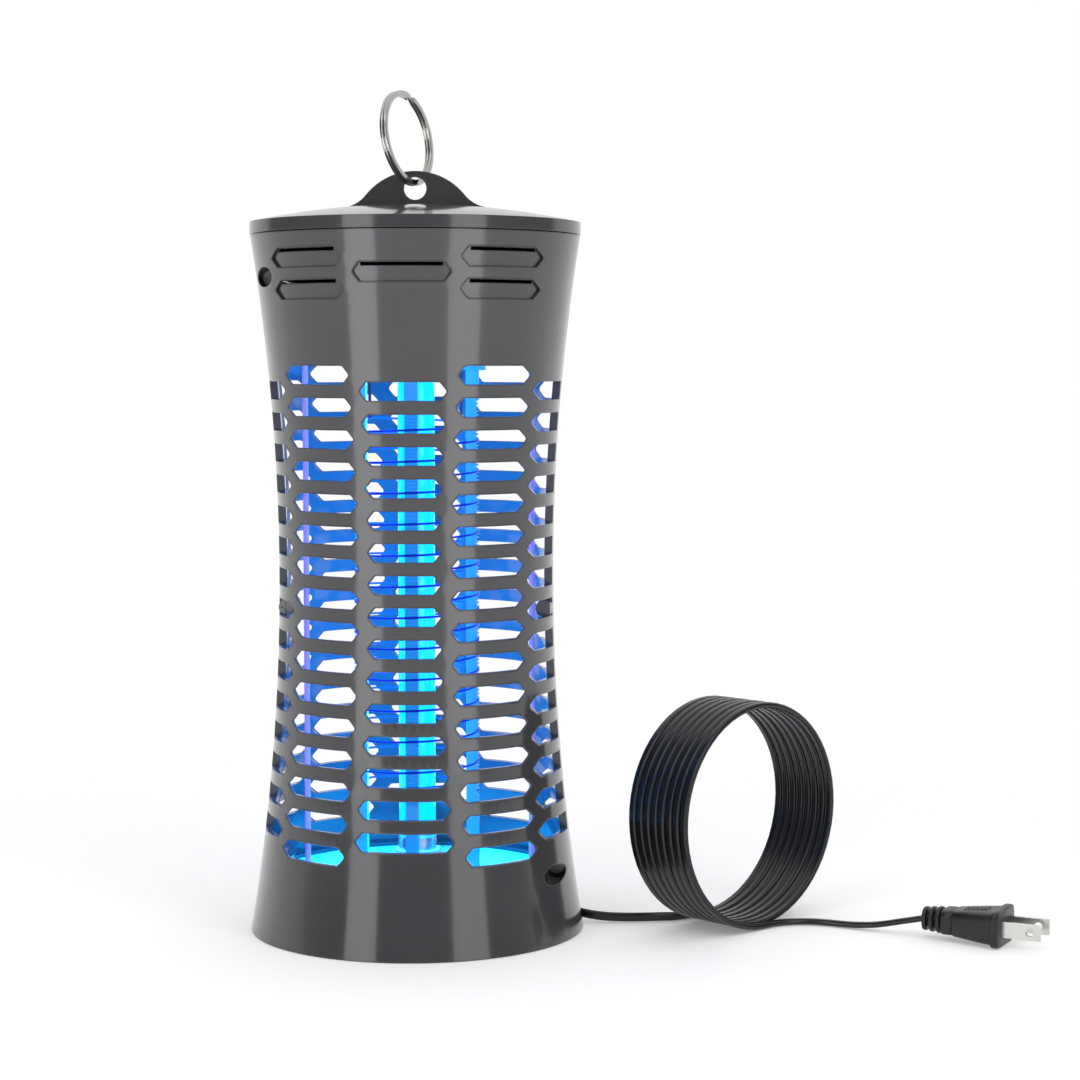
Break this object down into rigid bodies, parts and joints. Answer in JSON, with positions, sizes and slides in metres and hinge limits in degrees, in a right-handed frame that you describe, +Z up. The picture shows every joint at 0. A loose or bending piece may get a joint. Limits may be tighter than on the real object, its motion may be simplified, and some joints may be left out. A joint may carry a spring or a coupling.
{
  "type": "electric insect zapper",
  "caption": "Lantern-shaped electric insect zapper: waisted grille housing round a violet tube and wound grid, hanging ring, twist-off dish and a flat mains lead with plug.",
  "frame": {"origin": "centre of the ring-shaped foot face that it stands on", "axes": "+Z up along the housing's axis; -Y is the front, where half of the housing screws enter; +X is the side the mains lead leaves from"},
  "size_m": [0.3254, 0.1376, 0.3437],
  "materials": {
    "housing_plastic": "dark gunmetal grey moulded ABS, glossy",
    "ring_chrome": "polished nickel-chrome plated spring steel",
    "screw_steel": "zinc plated, satin",
    "deck_plastic": "pale grey-blue moulded plastic",
    "comb_plastic": "white translucent moulded plastic",
    "grid_steel": "drawn steel wire",
    "hv_insulation": "red silicone-insulated lead",
    "lamp_glass": "phosphor-coated violet lamp glass, lit",
    "lamp_aluminium": "satin pressed cap",
    "pin_brass": "plain",
    "holder_plastic": "white moulded plastic",
    "board_laminate": "green solder-resist laminate",
    "winding_tape": "yellow tape over windings on ferrite",
    "capacitor_sleeve": "shrunk sleeve",
    "part_epoxy": "moulded epoxy",
    "terminal_plastic": "green moulded plastic",
    "lead_pvc": "white insulated lead",
    "cord_pvc": "black satin flexible vinyl",
    "plug_plastic": "black satin moulded vinyl",
    "blade_nickel": "nickel plated brass"
  },
  "bodies": {
    "housing": {"lid": "housing_plastic", "front_shell": "housing_plastic", "rear_shell": "housing_plastic", "shell_screws": "screw_steel", "board_screws": "screw_steel", "deck": "deck_plastic", "floor_plate": "deck_plastic", "comb_post_front": "comb_plastic", "comb_post_right": "comb_plastic", "comb_post_rear": "comb_plastic", "comb_post_left": "comb_plastic", "grid_wire_a": "grid_steel", "grid_wire_b": "grid_steel", "hv_leads": "hv_insulation", "uv_tube": "lamp_glass", "lamp_caps": "lamp_aluminium", "lamp_pins": "pin_brass", "lamp_holder_upper": "holder_plastic", "lamp_holder_lower": "holder_plastic", "driver_board": "board_laminate", "hv_transformer": "winding_tape", "lamp_choke": "winding_tape", "capacitors": "capacitor_sleeve", "board_parts": "part_epoxy", "terminal_block": "terminal_plastic", "mains_inner_lead": "lead_pvc", "lamp_lead": "lead_pvc", "cord_relief": "cord_pvc", "mains_cord": "cord_pvc", "cord_coil": "cord_pvc", "cord_tail": "cord_pvc", "plug_body": "plug_plastic", "plug_blades": "blade_nickel"},
    "hang_ring": {"hang_ring": "ring_chrome"},
    "dish": {"dish": "housing_plastic"}
  },
  "joints": [
    {"name": "ring_swing", "type": "hinge", "parent": "housing", "child": "hang_ring", "pos_m": [0, 0, 0.3039], "axis": [0, 1, 0], "range_deg": [-60, 79]},
    {"name": "dish_twist", "type": "hinge", "parent": "housing", "child": "dish", "pos_m": [0, 0, 0.0108], "axis": [0, 0, 1], "range_deg": [0, 25]}
  ]
}
